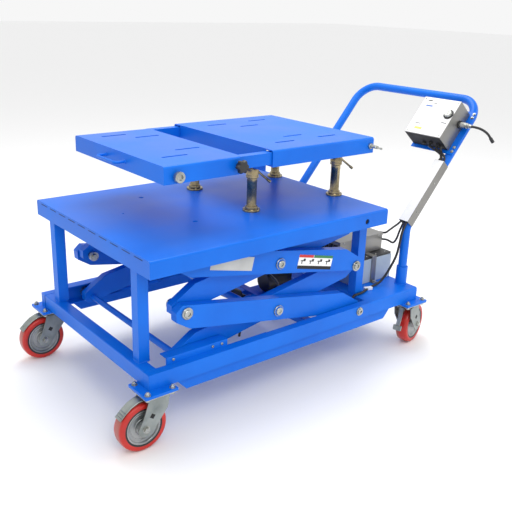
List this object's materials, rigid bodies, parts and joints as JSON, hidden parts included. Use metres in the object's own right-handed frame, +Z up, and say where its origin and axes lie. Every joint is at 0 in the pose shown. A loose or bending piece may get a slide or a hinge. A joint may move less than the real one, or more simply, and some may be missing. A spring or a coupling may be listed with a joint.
{
  "type": "scissor lift table",
  "caption": "Mobile double scissor lift table with a jacked, extending top platform, a push handle with controls and four braked swivel casters.",
  "frame": {"origin": "centre of the object's footprint box, on the floor", "axes": "+X towards the push handle, +Y across to the far side, +Z up"},
  "size_m": [1.6078, 0.8306, 0.9018],
  "materials": {
    "blue_paint": "gloss",
    "zinc_plate": "satin",
    "yellow_zinc": "satin",
    "red_tread": "satin",
    "brushed_steel": "satin",
    "black_plastic": "matte",
    "battery_grey": "satin",
    "white_enamel": "satin",
    "cable_black": "matte"
  },
  "bodies": {
    "base": {"side_rail_near": "blue_paint", "side_rail_far": "blue_paint", "base_end_frame": "blue_paint", "base_cross_member": "blue_paint", "rear_deck": "blue_paint", "battery_left": "battery_grey", "battery_right": "battery_grey", "battery_strap": "brushed_steel", "power_unit_case": "brushed_steel", "pump_motor": "black_plastic", "push_handle": "blue_paint", "cable_cover": "white_enamel", "control_box": "white_enamel", "cable_connector": "zinc_plate", "control_cable": "cable_black", "case_cable": "cable_black", "deck_cable": "cable_black", "remote_lead": "cable_black", "remote_lead_plug": "black_plastic"},
    "fork_near_left": {"caster_fork_near_left": "zinc_plate"},
    "wheel_near_left": {"caster_wheel_near_left": "red_tread"},
    "pedal_near_left": {"brake_pedal_near_left": "zinc_plate"},
    "fork_far_left": {"caster_fork_far_left": "zinc_plate"},
    "wheel_far_left": {"caster_wheel_far_left": "red_tread"},
    "pedal_far_left": {"brake_pedal_far_left": "zinc_plate"},
    "fork_near_right": {"caster_fork_near_right": "zinc_plate"},
    "wheel_near_right": {"caster_wheel_near_right": "red_tread"},
    "pedal_near_right": {"brake_pedal_near_right": "zinc_plate"},
    "fork_far_right": {"caster_fork_far_right": "zinc_plate"},
    "wheel_far_right": {"caster_wheel_far_right": "red_tread"},
    "pedal_far_right": {"brake_pedal_far_right": "zinc_plate"},
    "lower_outer": {"lower_outer_arms": "blue_paint", "left_joint_pin_near": "zinc_plate", "left_joint_pin_far": "zinc_plate"},
    "lower_inner": {"lower_inner_arms": "blue_paint"},
    "upper_inner": {"upper_inner_arms": "blue_paint"},
    "upper_outer": {"upper_outer_arms": "blue_paint"},
    "lower_roller_near": {"lower_roller_near": "zinc_plate"},
    "lower_roller_far": {"lower_roller_far": "zinc_plate"},
    "upper_roller_near": {"upper_roller_near": "zinc_plate"},
    "upper_roller_far": {"upper_roller_far": "zinc_plate"},
    "cylinder_barrel": {"cylinder_barrel": "black_plastic"},
    "cylinder_rod": {"cylinder_rod": "brushed_steel"},
    "table": {"table_tray": "blue_paint", "jack_stand_near_left": "yellow_zinc", "jack_stand_near_right": "yellow_zinc", "jack_stand_far_left": "yellow_zinc", "jack_stand_far_right": "yellow_zinc"},
    "platform": {"platform_main_plate": "blue_paint"},
    "slide": {"platform_slide_plate": "blue_paint", "grab_handle": "blue_paint"},
    "jack_lever_near_left": {"jack_lever_near_left": "yellow_zinc"},
    "jack_lever_near_right": {"jack_lever_near_right": "yellow_zinc"},
    "jack_lever_far_left": {"jack_lever_far_left": "yellow_zinc"},
    "jack_lever_far_right": {"jack_lever_far_right": "yellow_zinc"},
    "ring_pin": {"ring_pin": "zinc_plate"},
    "star_knob": {"star_knob": "black_plastic"},
    "tee_screw": {"tee_screw": "zinc_plate"},
    "dial": {"dial_knob": "black_plastic"},
    "stop_button": {"stop_button": "black_plastic"}
  },
  "joints": [
    {"name": "swivel_near_left", "type": "hinge", "parent": "base", "child": "fork_near_left", "pos_m": [-0.6827, -0.344, 0.16], "axis": [0, 0, 1], "continuous": true},
    {"name": "wheel_spin_near_left", "type": "hinge", "parent": "fork_near_left", "child": "wheel_near_left", "pos_m": [-0.7277, -0.344, 0.0762], "axis": [0, -1, 0], "continuous": true},
    {"name": "pedal_near_left", "type": "hinge", "parent": "fork_near_left", "child": "pedal_near_left", "pos_m": [-0.7207, -0.344, 0.16], "axis": [0, 1, 0], "range_deg": [0, 8]},
    {"name": "swivel_far_left", "type": "hinge", "parent": "base", "child": "fork_far_left", "pos_m": [-0.6827, 0.344, 0.16], "axis": [0, 0, 1], "continuous": true},
    {"name": "wheel_spin_far_left", "type": "hinge", "parent": "fork_far_left", "child": "wheel_far_left", "pos_m": [-0.7277, 0.344, 0.0762], "axis": [0, -1, 0], "continuous": true},
    {"name": "pedal_far_left", "type": "hinge", "parent": "fork_far_left", "child": "pedal_far_left", "pos_m": [-0.7207, 0.344, 0.16], "axis": [0, 1, 0], "range_deg": [0, 8]},
    {"name": "swivel_near_right", "type": "hinge", "parent": "base", "child": "fork_near_right", "pos_m": [0.4153, -0.344, 0.16], "axis": [0, 0, 1], "continuous": true},
    {"name": "wheel_spin_near_right", "type": "hinge", "parent": "fork_near_right", "child": "wheel_near_right", "pos_m": [0.45877, -0.33235, 0.0762], "axis": [-0.2588, 0.9659, 0], "continuous": true},
    {"name": "pedal_near_right", "type": "hinge", "parent": "fork_near_right", "child": "pedal_near_right", "pos_m": [0.37859, -0.35384, 0.16], "axis": [-0.2588, 0.9659, 0], "range_deg": [0, 12]},
    {"name": "swivel_far_right", "type": "hinge", "parent": "base", "child": "fork_far_right", "pos_m": [0.4153, 0.344, 0.16], "axis": [0, 0, 1], "continuous": true},
    {"name": "wheel_spin_far_right", "type": "hinge", "parent": "fork_far_right", "child": "wheel_far_right", "pos_m": [0.45962, 0.33619, 0.0762], "axis": [0.1736, 0.9848, 0], "continuous": true},
    {"name": "pedal_far_right", "type": "hinge", "parent": "fork_far_right", "child": "pedal_far_right", "pos_m": [0.37788, 0.3506, 0.16], "axis": [0.1736, 0.9848, 0], "range_deg": [0, 12]},
    {"name": "lift", "type": "hinge", "parent": "base", "child": "lower_outer", "pos_m": [0.1323, 0, 0.214], "axis": [0, 1, 0], "range_deg": [0, 37]},
    {"name": "lower_centre_pivot", "type": "hinge", "parent": "lower_outer", "child": "lower_inner", "pos_m": [-0.2137, 0, 0.29325], "axis": [0, 1, 0], "range_deg": [-74, 0]},
    {"name": "left_pivot", "type": "hinge", "parent": "lower_outer", "child": "upper_inner", "pos_m": [-0.5597, 0, 0.3725], "axis": [0, 1, 0], "range_deg": [-74, 0]},
    {"name": "upper_centre_pivot", "type": "hinge", "parent": "upper_inner", "child": "upper_outer", "pos_m": [-0.2137, 0, 0.45175], "axis": [0, 1, 0], "range_deg": [0, 74]},
    {"name": "table_pivot", "type": "hinge", "parent": "upper_inner", "child": "table", "pos_m": [0.1323, 0, 0.531], "axis": [0, 1, 0], "range_deg": [0, 37]},
    {"name": "lower_roller_near_spin", "type": "hinge", "parent": "lower_inner", "child": "lower_roller_near", "pos_m": [-0.5597, -0.316, 0.214], "axis": [0, 1, 0], "continuous": true},
    {"name": "lower_roller_far_spin", "type": "hinge", "parent": "lower_inner", "child": "lower_roller_far", "pos_m": [-0.5597, 0.316, 0.214], "axis": [0, 1, 0], "continuous": true},
    {"name": "upper_roller_near_spin", "type": "hinge", "parent": "upper_outer", "child": "upper_roller_near", "pos_m": [-0.5597, -0.3445, 0.531], "axis": [0, 1, 0], "continuous": true},
    {"name": "upper_roller_far_spin", "type": "hinge", "parent": "upper_outer", "child": "upper_roller_far", "pos_m": [-0.5597, 0.3445, 0.531], "axis": [0, 1, 0], "continuous": true},
    {"name": "cylinder_swing", "type": "hinge", "parent": "base", "child": "cylinder_barrel", "pos_m": [-0.104, 0, 0.1956], "axis": [0, 1, 0], "range_deg": [0, 46.4]},
    {"name": "cylinder_stroke", "type": "slide", "parent": "cylinder_barrel", "child": "cylinder_rod", "axis": [-0.8532, 0, 0.5215], "range_m": [0, 0.052]},
    {"name": "platform_height", "type": "slide", "parent": "table", "child": "platform", "axis": [0, 0, 1], "range_m": [0, 0.06]},
    {"name": "platform_extension", "type": "slide", "parent": "platform", "child": "slide", "axis": [-1, 0, 0], "range_m": [0, 0.15]},
    {"name": "jack_lever_near_left_turn", "type": "hinge", "parent": "table", "child": "jack_lever_near_left", "pos_m": [-0.1747, -0.13, 0.6801], "axis": [0, 0, 1], "range_deg": [0, 90]},
    {"name": "jack_lever_near_right_turn", "type": "hinge", "parent": "table", "child": "jack_lever_near_right", "pos_m": [0.2053, -0.13, 0.6801], "axis": [0, 0, 1], "range_deg": [0, 90]},
    {"name": "jack_lever_far_left_turn", "type": "hinge", "parent": "table", "child": "jack_lever_far_left", "pos_m": [-0.1747, 0.2, 0.6801], "axis": [0, 0, 1], "range_deg": [-90, 0]},
    {"name": "jack_lever_far_right_turn", "type": "hinge", "parent": "table", "child": "jack_lever_far_right", "pos_m": [0.2053, 0.2, 0.6801], "axis": [0, 0, 1], "range_deg": [-90, 0]},
    {"name": "ring_pin_pull", "type": "slide", "parent": "slide", "child": "ring_pin", "axis": [0, -1, 0], "range_m": [0, 0.02], "stiffness_N_per_m": 400},
    {"name": "star_knob_turn", "type": "hinge", "parent": "slide", "child": "star_knob", "pos_m": [-0.3177, -0.2398, 0.756], "axis": [0, 1, 0], "range_deg": [0, 360]},
    {"name": "tee_screw_turn", "type": "hinge", "parent": "platform", "child": "tee_screw", "pos_m": [0.2473, -0.2448, 0.761], "axis": [0, 1, 0], "range_deg": [0, 180]},
    {"name": "dial_turn", "type": "hinge", "parent": "base", "child": "dial", "pos_m": [0.62231, -0.279, 0.84594], "axis": [-0.7615, 0, 0.6481], "range_deg": [0, 270]},
    {"name": "stop_button_press", "type": "slide", "parent": "base", "child": "stop_button", "axis": [0, -1, 0], "range_m": [0, 0.004], "stiffness_N_per_m": 400}
  ],
  "couplings": [
    {"joint": "lower_centre_pivot", "follows": "lift", "ratio": -2},
    {"joint": "left_pivot", "follows": "lift", "ratio": -2},
    {"joint": "upper_centre_pivot", "follows": "lift", "ratio": 2},
    {"joint": "table_pivot", "follows": "lift", "ratio": 1},
    {"joint": "cylinder_swing", "follows": "lift", "ratio": 1.252},
    {"joint": "cylinder_stroke", "follows": "lift", "m_per_rad": 0.0801}
  ]
}
